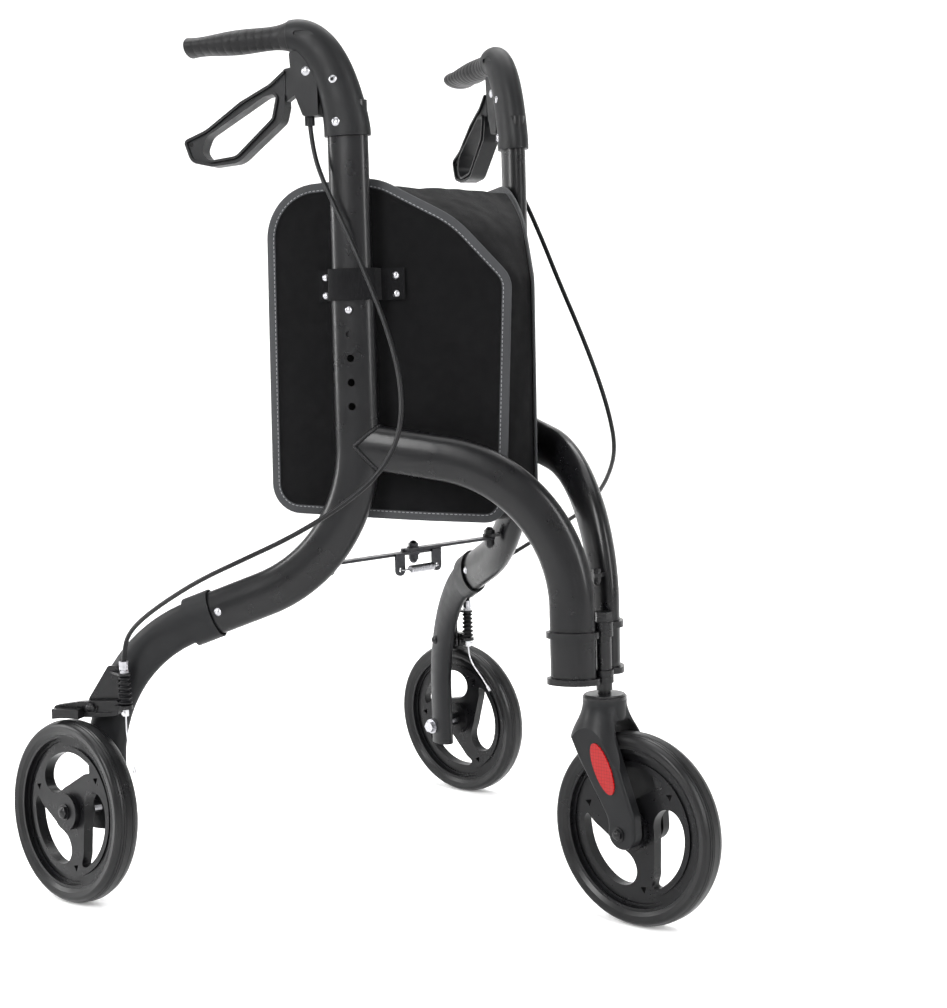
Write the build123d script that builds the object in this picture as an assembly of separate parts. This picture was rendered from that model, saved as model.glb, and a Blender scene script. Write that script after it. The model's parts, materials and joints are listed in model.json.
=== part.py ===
from build123d import *
import os
from math import asin, atan2, cos, degrees, hypot, pi, radians, sin, sqrt, tan

# Three-wheeled folding rollator walker, millimetres.
# +Z is up, -Y is the direction of travel, -X is the user's right.
# The origin is on the floor, in the middle of the footprint.
# Each side frame lies in a vertical plane and swings about one front pivot post.
# Side parts are modelled once, for the right side, in the frame's own axes:
# x = distance back from the pivot, y = outward, z = up. The left side is the mirror image.

# ---- driving dimensions ----
HALF_ANGLE = 27.0          # each side frame from the centre plane, unfolded
PIVOT_Y = -230.0           # front pivot post
FRAME_OUT = 14.5           # side frame's plane, outward of the pivot axis
WHEEL_R = 100.0
REAR_WHEEL = (311.0, 269.0)
FRONT_WHEEL_Y = -269.0
CAMBER = 3.25              # rear wheels lean in at the top
TUBE = (24.0, 14.0)        # oval frame tube, half sizes: in the plane, across it
INNER_TUBE = (22.0, 12.0)  # height-adjusting tube that slides in it
WALL = 1.5
LEG = (22.6, 12.0)
TUBE_X = 255.5             # upright part of the frame tube
TUBE_TOP = 672.0
BEND_R = 170.0
LEG_X = 562.0
LEG_R = 168.0
SLOPE = 20.3               # sloping run of tube and leg, degrees
COLLAR_X, COLLAR_Z = 424.0, 316.0
COLLAR_LENGTH = 31.0
ARCH_X = 29.0
ARCH_R = 157.0
ARCH_SLOPE = 9.1
ARCH_START_Z = 496.0
HOLE_PITCH = 25.0
BUTTON_Z = 637.0
HOLE_R = 4.0
PLATE = 6.5                # hinge plate thickness
PLATE_Z = {"right": (247.6, 295.6), "left": (254.3, 302.3)}
POST_R = 6.5
STAY_Z = {"right": 367.0, "left": 370.5}
STAY_BOLT = (300.0, -10.0)
STAY_THICK = 3.0
HANDLE_BOTTOM = 816.0
LEVER_PIVOT = (296.0, 884.0)
BASE = (Align.CENTER, Align.CENTER, Align.MIN)
BRAKE_Z = 211.0

os.makedirs("parts", exist_ok=True)
half_angle = radians(HALF_ANGLE)
slope = radians(SLOPE)
SPREAD = Pos(0, PIVOT_Y, 0) * Rot(0, 0, 90 + HALF_ANGLE)


# ---- helpers ----
def along(distance):
    """Point on the sloping run, measured back from the collar's front face."""
    return COLLAR_X + distance * cos(slope), COLLAR_Z - distance * sin(slope)


def side_path(points, radii, out=FRAME_OUT):
    """Path in the side frame's plane: straight runs with rounded corners."""
    corners = [(x, out, z) for x, z in points]
    if len(corners) == 2:
        return Line(*corners)
    return FilletPolyline(*corners, radius=radii)


def oval_sweep(path, half_sizes):
    """Solid with an oval section: half size in the plane, then across it."""
    start = Plane(origin=path @ 0, x_dir=(0, 1, 0), z_dir=path % 0)
    return sweep(start * Ellipse(half_sizes[1], half_sizes[0]), path=path)


def oval_tube(path, half_sizes, wall):
    inner = (half_sizes[0] - wall, half_sizes[1] - wall)
    return oval_sweep(path, half_sizes) - oval_sweep(path, inner)


def side_plate(sketch, thickness, out=FRAME_OUT):
    """Extrude a sketch drawn in (x, z), centred at a distance outward."""
    return Pos(0, out, 0) * extrude(Plane.XZ * sketch, thickness / 2, both=True)


def cross_pin(x, z, radius, low, high):
    """Round bar across the side frame, from low to high along y."""
    return Pos(x, (low + high) / 2, z) * Rot(90, 0, 0) * Cylinder(radius, high - low)


def post(x, y, radius, low, high):
    return Pos(x, y, (low + high) / 2) * Cylinder(radius, high - low)


def dome(radius, height):
    """Button-shaped head standing on z = 0."""
    ball = (radius * radius + height * height) / (2 * height)
    return Pos(0, 0, height - ball) * Sphere(ball) & Pos(0, 0, height / 2) * Cylinder(radius, height)


def hex_prism(across, height):
    return extrude(RegularPolygon(across / 2, 6, major_radius=False), height)


def cap_nut(across, height):
    """Hexagon with a domed top, standing on z = 0."""
    return hex_prism(across, height * 0.55) + Pos(0, 0, height * 0.55) * dome(across * 0.46, height * 0.45)


def rounded(points, radii):
    """Closed outline with its own radius at each corner."""
    face = make_face(Polyline(*points, close=True))
    for (x, y), radius in zip(points, radii):
        corner = face.vertices().sort_by_distance((x, y, 0))[0]
        face = fillet(corner, radius)
    return face


def to_outward(shape, x, z, out):
    """Turn a shape built on z = 0 so that it stands on the frame's outward side."""
    return Pos(x, out, z) * Rot(-90, 0, 0) * shape


def to_inward(shape, x, z, out):
    return Pos(x, out, z) * Rot(90, 0, 0) * shape


# ---- side frame ----
corner_z = COLLAR_Z + (COLLAR_X - TUBE_X) * tan(slope)
leg_corner_z = COLLAR_Z - (LEG_X - COLLAR_X) * tan(slope)
TUBE_END = 25.0
LEG_BOTTOM = 74.0
tube_path = side_path([(TUBE_X, TUBE_TOP), (TUBE_X, corner_z), along(TUBE_END)], BEND_R)
arch_drop = tan(radians(ARCH_SLOPE))
arch_corner_z = ARCH_START_Z - (TUBE_X - ARCH_X) * arch_drop


def frame_tube():
    tube = oval_tube(tube_path, TUBE, WALL)
    for step in range(5):
        hole_z = BUTTON_Z - step * HOLE_PITCH
        tube -= cross_pin(TUBE_X, hole_z, HOLE_R, FRAME_OUT + 5, FRAME_OUT + 20)
    return tube


def front_arch(side):
    foot = PLATE_Z[side][0] + PLATE
    path = side_path([(TUBE_X, ARCH_START_Z), (ARCH_X, arch_corner_z), (ARCH_X, foot)], ARCH_R)
    return oval_tube(path, TUBE, WALL) - oval_sweep(tube_path, TUBE)


def hinge_plate(low, holed):
    """Plate round the arch's foot, with an eye for the pivot post."""
    margin = 4.0
    ring = Pos(ARCH_X, FRAME_OUT) * Ellipse(TUBE[0] + margin, TUBE[1] + margin)
    eye_r = 10.0
    arm = Polygon((0, -eye_r), (ARCH_X, 1.5), (ARCH_X + 10, 2 * FRAME_OUT), (-eye_r, 2), align=None)
    outline = ring + Circle(eye_r) + arm
    trim = Pos(ARCH_X + 30, -19.4) * Rectangle(80, 40)
    outline = outline - trim + Circle(eye_r)
    plate = Pos(0, 0, low) * extrude(outline, PLATE)
    plate -= post(0, 0, POST_R + 0.06, low - 1, low + PLATE + 1)
    if holed:
        hole = Pos(ARCH_X, FRAME_OUT, low - 1) * extrude(Ellipse(*TUBE), PLATE + 2)
        plate -= hole
    return plate


def hinge_plates(side):
    lower, upper = PLATE_Z[side]
    return Compound(children=[hinge_plate(lower, False), hinge_plate(upper, True)])


def rear_leg():
    """Moulded leg: spigot inside the frame tube, collar round its end, then a bend to the floor."""
    spigot_start = -30.0
    spigot_size = (TUBE[0] - WALL - 0.1, TUBE[1] - WALL - 0.1)
    cavity_size = (LEG[0] - 3, LEG[1] - 3)
    points = [along(spigot_start), (LEG_X, leg_corner_z), (LEG_X, LEG_BOTTOM)]
    outer = oval_sweep(side_path([along(TUBE_END), *points[1:]], LEG_R), LEG)
    collar = oval_sweep(side_path([along(0), along(COLLAR_LENGTH)], None), (27.0, 17.0))
    collar -= oval_sweep(side_path([along(-1), along(TUBE_END)], None), (TUBE[0] + 0.1, TUBE[1] + 0.1))
    collar -= oval_sweep(side_path([along(-1), along(5)], None), (TUBE[0] + 1.4, TUBE[1] + 1.4))
    spigot = oval_sweep(side_path([along(spigot_start), along(TUBE_END + 1)], None), spigot_size)
    floor = 5.0
    hollow = [along(spigot_start - 1), (LEG_X, leg_corner_z), (LEG_X, LEG_BOTTOM + floor)]
    leg = outer + collar + spigot - oval_sweep(side_path(hollow, LEG_R), cavity_size)
    axle_hole = rear_wheel_seat("right") * Pos(0, 50, 0) * Rot(90, 0, 0) * Cylinder(AXLE_R + 0.05, 100)
    return leg - SPREAD.inverse() * axle_hole


def leg_envelope():
    return oval_sweep(side_path([along(TUBE_END), (LEG_X, leg_corner_z), (LEG_X, LEG_BOTTOM)], LEG_R), LEG)


def rivets():
    """Domed rivets: two at the collar, and four that hold the bag's strap ends on its side panel."""
    x, z = along(-8)
    edge = FRAME_OUT + TUBE[1]
    head = dome(4.6, 2.8)
    tube = oval_sweep(tube_path, TUBE)
    collar_pair = [to_outward(head, x, z, edge - 0.5) - tube, to_inward(head, x, z, FRAME_OUT - TUBE[1] + 0.5) - tube]
    out = PANEL_OUT + PANEL_THICK / 2 + STRAP_THICK
    spots = [(x, z) for x in STRAP_RIVET_X for z in (653.0, 672.0)]
    return Compound(children=collar_pair + [to_outward(dome(4.0, 2.4), x, z, out) for x, z in spots])


# ---- handle ----
# Matching points on the elbow's outer and inner outline, and the half size across it.
ELBOW = [
    ((230.5, HANDLE_BOTTOM), (280.5, HANDLE_BOTTOM), 16.0),
    ((233.0, 838.0), (282.0, 841.0), 16.0),
    ((243.0, 874.0), (287.0, 865.0), 16.0),
    ((260.0, 909.0), (295.0, 885.0), 16.0),
    ((284.0, 932.0), (305.0, 899.0), 15.5),
    ((315.0, 938.0), (315.0, 906.0), 15.0),
]
GRIP_FRONT, GRIP_BACK = (315.0, 921.5), (427.0, 917.0)
TUBE_IN_HOUSING = 852.0
HANDLE_TUBE_BOTTOM = 600.0


def elbow_section(outer, inner, across):
    centre = ((outer[0] + inner[0]) / 2, FRAME_OUT, (outer[1] + inner[1]) / 2)
    reach = (outer[0] - inner[0], 0, outer[1] - inner[1])
    half = hypot(reach[0], reach[2]) / 2
    normal = Vector(*reach).cross(Vector(0, 1, 0)).normalized()
    return Plane(origin=centre, x_dir=(0, 1, 0), z_dir=normal) * Ellipse(across, half)


def handle_tube():
    path = side_path([(TUBE_X, HANDLE_TUBE_BOTTOM), (TUBE_X, TUBE_IN_HOUSING)], None)
    tube = oval_tube(path, INNER_TUBE, WALL)
    return tube - cross_pin(TUBE_X, BUTTON_Z, HOLE_R, FRAME_OUT, FRAME_OUT + 20)


EAR_OUTLINE = [(283, 905), (314, 905), (313, 890), (308, 858), (300.5, 838), (284, 838)]
EAR_THICK = 3.0
EAR_GAP = 13.0


def handle_housing():
    body = loft([elbow_section(*row) for row in ELBOW])
    ears = rounded(EAR_OUTLINE, [2, 3, 6, 10, 3, 2])
    ears_width = EAR_GAP + 2 * EAR_THICK
    lug = side_plate(ears, ears_width)
    housing = body + lug - Pos(302.5, FRAME_OUT, 880) * Box(39, EAR_GAP, 49)
    socket = side_path([(TUBE_X, HANDLE_BOTTOM - 1), (TUBE_X, TUBE_IN_HOUSING)], None)
    housing -= oval_sweep(socket, (INNER_TUBE[0] + 0.1, INNER_TUBE[1] + 0.1))
    housing += post(BARREL_X, FRAME_OUT, 5.2, BARREL_BOTTOM, 839)
    housing -= post(BARREL_X, FRAME_OUT, 3.6, BARREL_BOTTOM - 1, 836)
    housing -= cross_pin(*LEVER_PIVOT, 3.0, FRAME_OUT - 12, FRAME_OUT + 12)
    groove = side_plate(Pos(291, 922) * SlotOverall(30, 5), 40)
    groove -= side_plate(Rectangle(2000, 4000), 27)
    return housing - groove


BARREL_X = 296.5
BARREL_BOTTOM = 829.0


def handle_bolts():
    """Button-head screws through the housing, and the lever's pivot pin."""
    pieces = []
    head = dome(4.9, 2.6) - Pos(0, 0, 2.0) * Cylinder(1.9, 2.0)
    for x, z, width in ((264.5, 873.0, 15.4), (262.5, 830.0, 15.6)):
        pieces.append(to_outward(head, x, z, FRAME_OUT + width - 0.6))
        pieces.append(to_inward(head, x, z, FRAME_OUT - width + 0.6))
    pin = cross_pin(*LEVER_PIVOT, 2.95, FRAME_OUT - 10.5, FRAME_OUT + 10.5)
    half = EAR_GAP / 2 + EAR_THICK
    pin += to_outward(dome(4.8, 2.2), *LEVER_PIVOT, FRAME_OUT + half)
    pin += to_inward(dome(4.8, 2.2), *LEVER_PIVOT, FRAME_OUT - half)
    housing = handle_housing()
    return Compound(children=[piece - housing for piece in pieces] + [pin])


def grip():
    """Soft grip: round at the thumb, widening to a flat palm rest."""
    rows = [(0.0, 16.0, 15.0), (0.07, 13.6, 13.0), (0.35, 12.6, 14.0), (0.65, 12.0, 18.0), (1.0, 10.5, 20.5)]
    sections = []
    for part, tall, wide in rows:
        x = GRIP_FRONT[0] + part * (GRIP_BACK[0] - GRIP_FRONT[0])
        z = GRIP_FRONT[1] + part * (GRIP_BACK[1] - GRIP_FRONT[1])
        sections.append(Plane(origin=(x, FRAME_OUT, z), x_dir=(0, 1, 0), z_dir=(1, 0, 0)) * Ellipse(wide, tall))
    return loft(sections)


LEVER_OUTLINE = [(312, 893), (337, 873), (370, 857), (410, 830), (436, 820), (428, 797), (405, 791.5),
                 (374, 794), (324, 834), (318, 857)]
LEVER_RADII = [5, 20, 40, 40, 5, 12, 20, 24, 12, 8]
LEVER_WINDOW = [(329, 863.5), (343, 860.5), (409, 823), (415.5, 808), (408, 798), (377, 801.5), (335, 838)]
WINDOW_RADII = [4, 12, 14, 8, 8, 14, 8]
LEVER_WIDTH = 19.0
TONGUE_WIDTH = 11.0


def brake_lever():
    """Squeeze loop: a channel-section ring on a narrow tongue that turns on the pivot pin."""
    window = rounded(LEVER_WINDOW, WINDOW_RADII)
    ring = rounded(LEVER_OUTLINE, LEVER_RADII) - window
    loop = side_plate(ring, LEVER_WIDTH)
    rib = 3.0
    core = offset(rounded(LEVER_OUTLINE, LEVER_RADII), -2.6) - offset(window, 2.4)
    for side in (-1, 1):
        recess = side_plate(core, rib, FRAME_OUT + side * (LEVER_WIDTH - rib) / 2)
        loop -= recess
    loop -= Pos(300, FRAME_OUT, 870) * Box(40, LEVER_WIDTH + 1, 90)
    tongue = rounded([(296, 892), (322, 888), (330, 866), (322, 853), (292, 872), (288.5, 884)], [6, 4, 4, 4, 3, 6])
    lever = loop + side_plate(tongue, TONGUE_WIDTH)
    lever -= cross_pin(*LEVER_PIVOT, 3.02, FRAME_OUT - 20, FRAME_OUT + 20)
    tip_hole = cross_pin(*LEVER_TIP_HOLE, 2.0, FRAME_OUT - 20, FRAME_OUT + 20)
    return lever - tip_hole


LEVER_TIP_HOLE = (427.5, 815.5)


def snap_button():
    """Height-lock button: a domed plug with a flange behind the tube's wall."""
    inner_face = FRAME_OUT + INNER_TUBE[1] - WALL
    plug = to_outward(Cylinder(3.6, 7.5, align=(Align.CENTER, Align.CENTER, Align.MIN)), TUBE_X, BUTTON_Z, inner_face - 2.5)
    plug += to_outward(dome(3.6, 1.6), TUBE_X, BUTTON_Z, inner_face + 5.0)
    flange = to_outward(Cylinder(5.0, 1.5, align=(Align.CENTER, Align.CENTER, Align.MIN)), TUBE_X, BUTTON_Z, inner_face - 2.5)
    return plug + flange


# ---- bag ----
PANEL_OUTLINE = [(232, 774), (142, 724), (84, 655), (107, 409), (361, 424), (355, 768)]
PANEL_RADII = [70, 150, 42, 22, 32, 58]
PANEL_OUT = -5.0
PANEL_THICK = 2.6
CREASE_X = 200.0           # ahead of this line the panel leans inward
LEAN = 13.0


def inboard_of(face):
    """Everything on the bag's side of one panel's surface."""
    flat = Pos(500, face - 500, 600) * Box(2000, 1000, 1000)
    leaning = Pos(CREASE_X, face, 600) * Rot(0, 0, LEAN) * Pos(0, -500, 0) * Box(2000, 1000, 1000)
    return flat & leaning


def bag_panel():
    """Stiffened fabric side of the bag, just inside the frame tube."""
    outer, inner = PANEL_OUT + PANEL_THICK / 2, PANEL_OUT - PANEL_THICK / 2
    return side_plate(rounded(PANEL_OUTLINE, PANEL_RADII), 400, 0) & (inboard_of(outer) - inboard_of(inner))


STRAP_Z = (647.0, 680.0)
STRAP_THICK = 2.0
STRAP_ENDS = (204.0, 299.0)
STRAP_RIVET_X = (213.5, 291.0)


def bag_strap():
    """Band round the outside of the frame tube, with flat ends riveted to the panel."""
    low = PANEL_OUT + PANEL_THICK / 2
    thick = STRAP_THICK
    band = Ellipse(TUBE[0] + 0.3 + thick, TUBE[1] + 0.3 + thick) - Ellipse(TUBE[0] + 0.3, TUBE[1] + 0.3)
    band = Pos(TUBE_X, FRAME_OUT) * band
    band = band & Pos(TUBE_X, FRAME_OUT + 25) * Rectangle(200, 50)
    reach = TUBE[0] + 0.3
    sides = [Pos(TUBE_X + s * (reach + thick / 2), (low + FRAME_OUT) / 2) * Rectangle(thick, FRAME_OUT - low)
             for s in (-1, 1)]
    tabs = [Pos((TUBE_X + s * reach + end) / 2, low + thick / 2) * Rectangle(abs(end - TUBE_X) - reach, thick)
            for s, end in zip((-1, 1), STRAP_ENDS)]
    outline = band + sides[0] + sides[1] + tabs[0] + tabs[1]
    return Pos(0, 0, STRAP_Z[0]) * extrude(outline, STRAP_Z[1] - STRAP_Z[0])


def bag_space(points, radii, inner_face):
    """Space between the two side panels, inside an outline given in a panel's own x and z."""
    turned = []
    for x, z in points:
        out = PANEL_OUT - max(0, CREASE_X - x) * tan(radians(LEAN))
        turned.append((PIVOT_Y + x * cos(half_angle) - out * sin(half_angle), z))
    prism = extrude(Plane.YZ * rounded(turned, radii), 400, both=True)
    wedge = SPREAD * inboard_of(inner_face)
    return prism & wedge & mirror(wedge, about=Plane.YZ)


def bag_gusset():
    """Fabric front, floor and back of the bag, from one panel to the other; open at the top."""
    face = PANEL_OUT - PANEL_THICK / 2 - 0.4
    outer = [(226, 766), (143, 717), (91, 654), (114, 416), (351, 431), (345, 762)]
    inner = [(228, 840), (228, 766), (144.5, 716), (92.5, 653.5), (115.5, 417.4), (349.6, 432.2), (343.6, 762), (343.6, 840)]
    shell = bag_space(outer, [2, 110, 34, 14, 26, 2], face)
    return shell - bag_space(inner, [1, 1, 108, 33, 12.8, 24.8, 1, 1], face + 1.0)


# ---- wheels ----
CROWN_RING = 80.0
FRONT_SEAT = Pos(0, FRONT_WHEEL_Y, WHEEL_R) * Rot(0, 0, -90)
RIM_PHASE = {"right": 15.0, "left": 95.0, "front": 15.0}
HUB_HALF = 13.0
AXLE_R = 4.0


def tyre_profile():
    """Half section of the tyre in (radius, width), crowned, with fine tread lines."""
    half = 14.7
    edge = [(84.0, 0.0), (84.0, 11.0), (88.0, 13.6), (93.0, half)]
    crown = [(97.5, 11.5), (99.4, 7.0), (WHEEL_R, 0.0)]
    upper = Polyline(*edge) + Spline(edge[-1], *crown, tangents=[(1, 0), (0, -1)])
    face = make_face(upper + Line(crown[-1], edge[0]))
    for width in (4.0, 6.6, 9.2):
        radius = WHEEL_R - 0.0122 * width * width
        face -= Pos(radius, width) * Rectangle(1.6, 0.6)
    return face + mirror(face, about=Plane.XZ)


def tyre():
    return revolve(Plane.XY * tyre_profile(), axis=Axis.Y)


def polar(radius, angle):
    return radius * cos(radians(angle)), radius * sin(radians(angle))


# One comma-shaped window of the rim: radius, and angle from its round end.
WINDOW = [(64.5, -66), (64.8, -44), (64.6, -22), (63.0, -2), (56.5, 12), (46.0, 19), (35.0, 17), (27.5, 4),
          (26.5, -20), (29.5, -43), (36.0, -59), (44.5, -70), (54.0, -78), (61.0, -82.5), (64.0, -79)]
WEB_HALF = 6.0


def rim(phase):
    """Moulded rim about +Y: ring, hub boss and three swept spokes."""
    ring = Plane.XZ * (Circle(83.9) - Circle(AXLE_R + 0.08))
    body = extrude(ring, WEB_HALF, both=True)
    groove = extrude(Plane.XZ * (Circle(77.0) - Circle(71.0)), 2, both=True)
    for side in (-1, 1):
        body -= Pos(0, side * WEB_HALF, 0) * groove
    body += extrude(Plane.XZ * (Circle(83.9) - Circle(80.5)), 11.0, both=True)
    for turn in range(3):
        start = phase + 120 * turn
        outline = Spline(*[polar(radius, start + angle) for radius, angle in WINDOW], periodic=True)
        body -= extrude(Plane.XZ * make_face(outline), 20, both=True)
        notch = Pos(*polar(61.5, start - 94)) * Rot(0, 0, start - 94) * RegularPolygon(4.6, 3)
        body -= extrude(Plane.XZ * notch, 20, both=True)
    body += extrude(Plane.XZ * (Circle(20.0) - Circle(AXLE_R + 0.08)), HUB_HALF, both=True)
    return body


def rear_wheel_seat(side):
    """Location of a rear wheel: its own axle axis +Y points inboard, tilted by the camber."""
    sign = -1 if side == "right" else 1
    height = CROWN_RING * cos(radians(CAMBER)) + WHEEL_R - CROWN_RING
    return Pos(sign * REAR_WHEEL[0], REAR_WHEEL[1], height) * Rot(0, -sign * CAMBER, 0) * Rot(0, 0, sign * 90)


def rear_axle(side):
    """Axle bolt through the leg: spacer and hex head shaped to the leg, cap outboard of the wheel."""
    spin = Rot(-90, 0, 0)
    shaft = Pos(0, -HUB_HALF - 2, 0) * spin * Cylinder(AXLE_R, 78.0, align=BASE)
    washer = Pos(0, -HUB_HALF - 1.3, 0) * spin * Cylinder(9.0, 1.2, align=BASE)
    cap = Pos(0, -HUB_HALF - 1.3, 0) * Rot(90, 0, 0) * cap_nut(13.0, 5.5)
    spacer = Pos(0, HUB_HALF + 0.1, 0) * spin * Cylinder(8.0, 26.0, align=BASE)
    head = Pos(0, 50.0, 0) * spin * (Cylinder(9.5, 9.5, align=BASE) + Pos(0, 0, 9.5) * hex_prism(13.0, 5.0))
    leg = SPREAD * leg_envelope()
    if side == "left":
        leg = mirror(leg, about=Plane.YZ)
    seat = rear_wheel_seat(side)
    return seat * (shaft + washer + cap) + (seat * (spacer + head) - leg)


# ---- caster ----
FORK_OUTLINE = [(-250, 245), (-252, 213), (-266, 178), (-288, 120), (-290, 84), (-253, 84),
                (-256, 113), (-219, 170), (-206, 195), (-204, 245)]
FORK_RADII = [4, 20, 60, 16, 17, 17, 24, 40, 20, 4]
NECK = [(23.0, 231), (23.6, 222), (28.0, 210), (35.0, 197), (41.0, 182), (52.0, 162), (75.0, 138), (140.0, 110)]
CROWN_TOP = 230.5
FORK_HALF = 31.0
SLOT_HALF = 18.0


def fork():
    """Moulded caster fork: crown round the swivel bearings, two arms swept forward to the axle."""
    arms = extrude(Plane.YZ * rounded(FORK_OUTLINE, FORK_RADII), FORK_HALF, both=True)
    outer_faces = arms.faces().sort_by(Axis.X)
    arms = fillet(outer_faces[0].edges() + outer_faces[-1].edges(), 3.5)
    half_section = make_face(Spline(*NECK) + Polyline(NECK[-1], (140, 50), (0, 50), (0, NECK[0][1]), NECK[0]))
    neck = Pos(0, PIVOT_Y, 0) * revolve(Plane.XZ * half_section, axis=Axis.Z)
    body = (arms & neck) + post(0, PIVOT_Y, 23.0, 205, CROWN_TOP)
    body -= post(0, PIVOT_Y, 60.0, CROWN_TOP, 260)
    tunnel = extrude(Plane.XZ * rounded([(-SLOT_HALF, 213), (-SLOT_HALF, 50), (SLOT_HALF, 50), (SLOT_HALF, 213)],
                                        [17, 2, 2, 17]), 500, both=True)
    sweep_space = Pos(0, FRONT_WHEEL_Y, WHEEL_R) * Rot(0, 90, 0) * Cylinder(112.0, 2 * SLOT_HALF)
    body -= tunnel & sweep_space
    body -= post(0, PIVOT_Y, BEARING_R, 212, CROWN_TOP + 0.1)
    body -= post(0, PIVOT_Y, 12.5, 195, 206)
    body -= post(0, PIVOT_Y, POST_R + 1.0, 190, 235)
    body -= Pos(0, FRONT_WHEEL_Y, WHEEL_R) * Rot(0, 90, 0) * Cylinder(AXLE_R + 0.05, 100)
    return body - reflector_pair(0.1, -0.6)


BEARING_R = 14.0


def swivel_bearings():
    ring = Circle(BEARING_R) - Circle(POST_R + 0.06)
    return Compound(children=[Pos(0, PIVOT_Y, low) * extrude(ring, 6.5) for low in (212.2, 223.7)])


def fork_cap():
    """Dust cap on the crown, with a rolled rim."""
    middle, top = CROWN_TOP + 3.2, CROWN_TOP + 5.5
    disc = post(0, PIVOT_Y, 23.0, CROWN_TOP, middle) + post(0, PIVOT_Y, 21.5, middle, top)
    disc = fillet(disc.edges().filter_by(GeomType.CIRCLE).sort_by(Axis.Z)[-1], 1.2)
    return disc - post(0, PIVOT_Y, POST_R + 0.8, CROWN_TOP - 1, top + 1)


def pivot_post():
    """Front post: hex head on top, shank through both pairs of plates and the fork's bearings."""
    shank = post(0, PIVOT_Y, POST_R, 199.2, 311)
    head = Pos(0, PIVOT_Y, 310.6) * hex_prism(17.0, 10.5)
    washer = post(0, PIVOT_Y, 10.5, 309.0, 310.6)
    nut = Pos(0, PIVOT_Y, 198.8) * hex_prism(17.0, 6.4)
    collar = post(0, PIVOT_Y, 8.5, 240.0, 247.4)
    return shank + head + washer + nut + collar


def post_sleeve():
    """Spacer tube on the post, between the lower and the upper plates."""
    return post(0, PIVOT_Y, 8.2, 261.1, 295.3) - post(0, PIVOT_Y, POST_R + 0.1, 256, 300)


def reflector_pair(margin, start):
    """Oval lenses on the two outer faces of the fork, tilted with its arms."""
    lens = Pos(-250.5, 165) * Rot(0, 0, -25) * Ellipse(10.5 + margin, 27.5 + margin)
    shape = Pos(FORK_HALF + start, 0, 0) * extrude(Plane.YZ * lens, 1.9)
    return shape + mirror(shape, about=Plane.YZ)


def front_axle():
    """Axle bolt with a nut and washer on each arm and a spacer each side of the hub."""
    centre = Pos(0, FRONT_WHEEL_Y, WHEEL_R)
    pieces = centre * Rot(0, 90, 0) * Cylinder(AXLE_R, 2 * FORK_HALF + 4)
    for sign in (-1, 1):
        outer = Cylinder(7.5, 1.2, align=BASE) + Pos(0, 0, 1.2) * cap_nut(10.0, 5.0)
        pieces += centre * Rot(0, sign * 90, 0) * Pos(0, 0, FORK_HALF + 0.02) * outer
        spacer = Cylinder(7.0, SLOT_HALF - HUB_HALF - 0.15, align=BASE)
        pieces += centre * Rot(0, sign * 90, 0) * Pos(0, 0, HUB_HALF + 0.1) * spacer
    return pieces


# ---- folding stay ----
stay_x = STAY_BOLT[0] * sin(half_angle) + STAY_BOLT[1] * cos(half_angle)
stay_y = PIVOT_Y + STAY_BOLT[0] * cos(half_angle) - STAY_BOLT[1] * sin(half_angle)
STAY_HALF_WIDTH = 6.5
EAR_X = 29.0


def stay_bar(side):
    """Flat link from one side's bracket to the middle joint, in the row's own axes."""
    sign = -1 if side == "right" else 1
    low = STAY_Z[side] - STAY_THICK / 2
    past = 36.0 if side == "right" else 11.0
    length = stay_x + past
    strip = Pos(sign * (stay_x - past) / 2, stay_y) * SlotOverall(length + 2 * STAY_HALF_WIDTH, 2 * STAY_HALF_WIDTH)
    bar = Pos(0, 0, low) * extrude(strip, STAY_THICK)
    bar -= post(sign * stay_x, stay_y, 3.08, low - 1, low + STAY_THICK + 1)
    if side == "right":
        for x in (-EAR_X, EAR_X):
            tab = Pos(x, low - 11.0) * rounded([(-7, 14), (-7, -11), (7, -11), (7, 14)], [1, 6.5, 6.5, 1])
            tab -= Pos(x, low - 15.5) * Circle(2.6)
            bar += Pos(0, stay_y - STAY_HALF_WIDTH - 1.0, 0) * extrude(Plane.XZ * tab, 1.25, both=True)
        return Compound(children=[bar, stay_nut()])
    return Compound(children=[bar, stay_bolt_head()])


def stay_bolt_head():
    """Upper half of the middle joint, on the upper link."""
    top = STAY_Z["left"] + STAY_THICK / 2
    return Pos(0, stay_y, top) * (Cylinder(7.0, 1.2, align=BASE) + Pos(0, 0, 1.2) * cap_nut(10.0, 7.0))


def stay_nut():
    """Lower half of the middle joint, under the lower link."""
    low = STAY_Z["right"] - STAY_THICK / 2
    return Pos(0, stay_y, low) * Rot(180, 0, 0) * (Cylinder(7.0, 1.2, align=BASE) + Pos(0, 0, 1.2) * cap_nut(10.0, 10.0))


def stay_spring():
    """Tension spring's closed coils, with a hook through each ear."""
    z = STAY_Z["right"] - STAY_THICK / 2 - 15.5
    y = stay_y - STAY_HALF_WIDTH - 6.0
    body = Pos(0, y, z) * Rot(0, 90, 0) * Cylinder(4.2, 36.0)
    hook = 9.0
    corners = [(-EAR_X, y + hook, z), (-EAR_X, y, z), (EAR_X, y, z), (EAR_X, y + hook, z)]
    path = FilletPolyline(*corners, radius=2.5)
    return body + sweep(Plane(origin=path @ 0, z_dir=path % 0) * Circle(0.9), path=path)


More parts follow.
